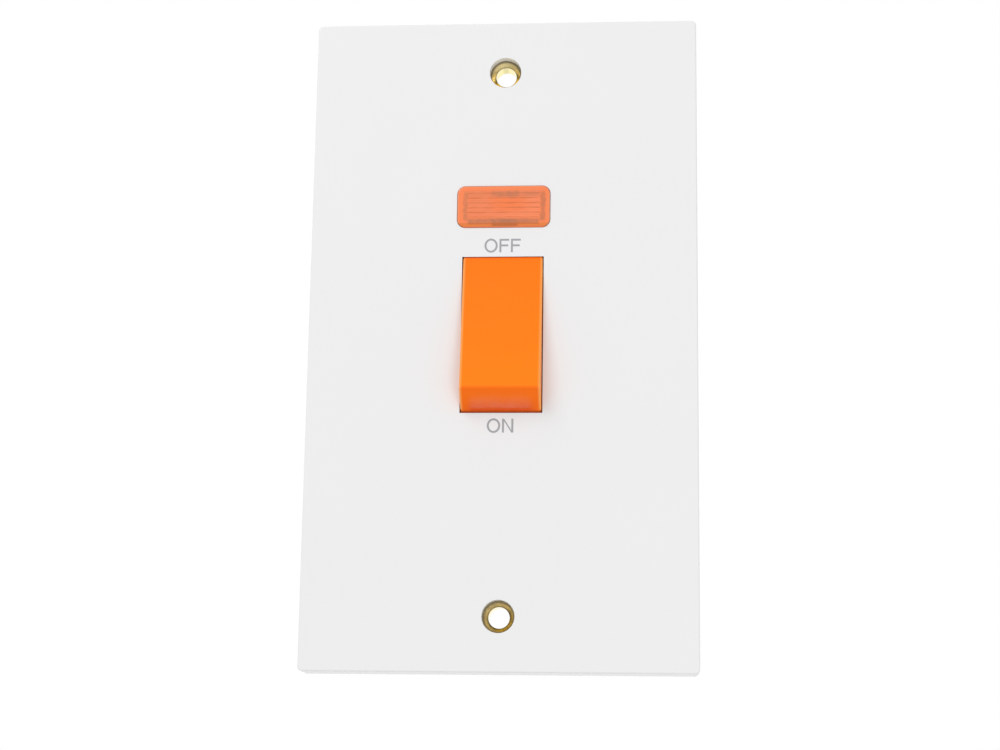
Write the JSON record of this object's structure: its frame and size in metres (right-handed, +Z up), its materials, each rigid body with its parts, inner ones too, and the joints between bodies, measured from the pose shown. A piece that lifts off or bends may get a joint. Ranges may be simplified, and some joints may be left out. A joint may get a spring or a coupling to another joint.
{
  "type": "double pole switch",
  "caption": "Tall white wall plate with a wide orange double pole rocker switch, an amber neon lens above it, brass-lined fixing holes and screw terminals behind.",
  "frame": {"origin": "middle of the plate's back rim, on the wall plane", "axes": "+X right seen from the front, +Y into the wall, +Z up"},
  "size_m": [0.0844, 0.0361, 0.144],
  "materials": {
    "white_plate": "satin",
    "white_tray": "matte",
    "white_frame": "matte",
    "grey_base": "matte",
    "orange_rocker": "gloss",
    "amber_lens": "gloss",
    "lamp_glass": "gloss",
    "lamp_wire": "satin",
    "resistor_body": "matte",
    "blue_sleeve": "satin",
    "brown_sleeve": "satin",
    "eyelet_brass": "satin",
    "strip_brass": "satin",
    "terminal_brass": "satin",
    "screw_steel": "satin",
    "spring_steel": "satin",
    "plunger_nylon": "satin",
    "lever_copper": "satin",
    "contact_silver": "satin"
  },
  "bodies": {
    "housing": {"front_plate": "white_plate", "upper_eyelet": "eyelet_brass", "lower_eyelet": "eyelet_brass", "earth_strap": "strip_brass", "earth_terminal": "terminal_brass", "earth_screw": "screw_steel", "neon_lens": "amber_lens", "neon_holder": "white_tray", "neon_glass": "lamp_glass", "neon_electrodes": "lamp_wire", "neon_resistor": "resistor_body", "switch_frame": "white_frame", "switch_base": "grey_base", "terminal_screws": "screw_steel", "mechanism_screws": "screw_steel", "neon_lead_left": "blue_sleeve", "fixed_contact_left": "contact_silver", "load_strip_left": "strip_brass", "supply_strip_left": "strip_brass", "load_terminal_left": "terminal_brass", "supply_terminal_left": "terminal_brass", "neon_lead_right": "brown_sleeve", "fixed_contact_right": "contact_silver", "load_strip_right": "strip_brass", "supply_strip_right": "strip_brass", "load_terminal_right": "terminal_brass", "supply_terminal_right": "terminal_brass"},
    "rocker": {"rocker": "orange_rocker", "plunger_spring_left": "spring_steel", "plunger_spring_right": "spring_steel"},
    "plunger_left": {"plunger_left": "plunger_nylon"},
    "plunger_right": {"plunger_right": "plunger_nylon"},
    "lever_left": {"contact_lever_left": "lever_copper", "moving_contact_left": "contact_silver"},
    "lever_right": {"contact_lever_right": "lever_copper", "moving_contact_right": "contact_silver"}
  },
  "joints": [
    {"name": "rocker_tilt", "type": "hinge", "parent": "housing", "child": "rocker", "pos_m": [0, 0.0045, 0.0006], "axis": [1, 0, 0], "range_deg": [0, 17.6]},
    {"name": "lever_left_rock", "type": "hinge", "parent": "housing", "child": "lever_left", "pos_m": [0, 0.01405, 0.0006], "axis": [1, 0, 0], "range_deg": [-16, 0]},
    {"name": "plunger_left_slide", "type": "slide", "parent": "rocker", "child": "plunger_left", "axis": [0, -0.9882, 0.153], "range_m": [0, 0.0008], "stiffness_N_per_m": 800, "deforming": ["plunger_spring_left"]},
    {"name": "lever_right_rock", "type": "hinge", "parent": "housing", "child": "lever_right", "pos_m": [0, 0.01405, 0.0006], "axis": [1, 0, 0], "range_deg": [-16, 0]},
    {"name": "plunger_right_slide", "type": "slide", "parent": "rocker", "child": "plunger_right", "axis": [0, -0.9882, 0.153], "range_m": [0, 0.0008], "stiffness_N_per_m": 800, "deforming": ["plunger_spring_right"]}
  ],
  "couplings": [
    {"joint": "lever_left_rock", "follows": "rocker_tilt", "ratio": -0.90909},
    {"joint": "lever_right_rock", "follows": "rocker_tilt", "ratio": -0.90909}
  ]
}
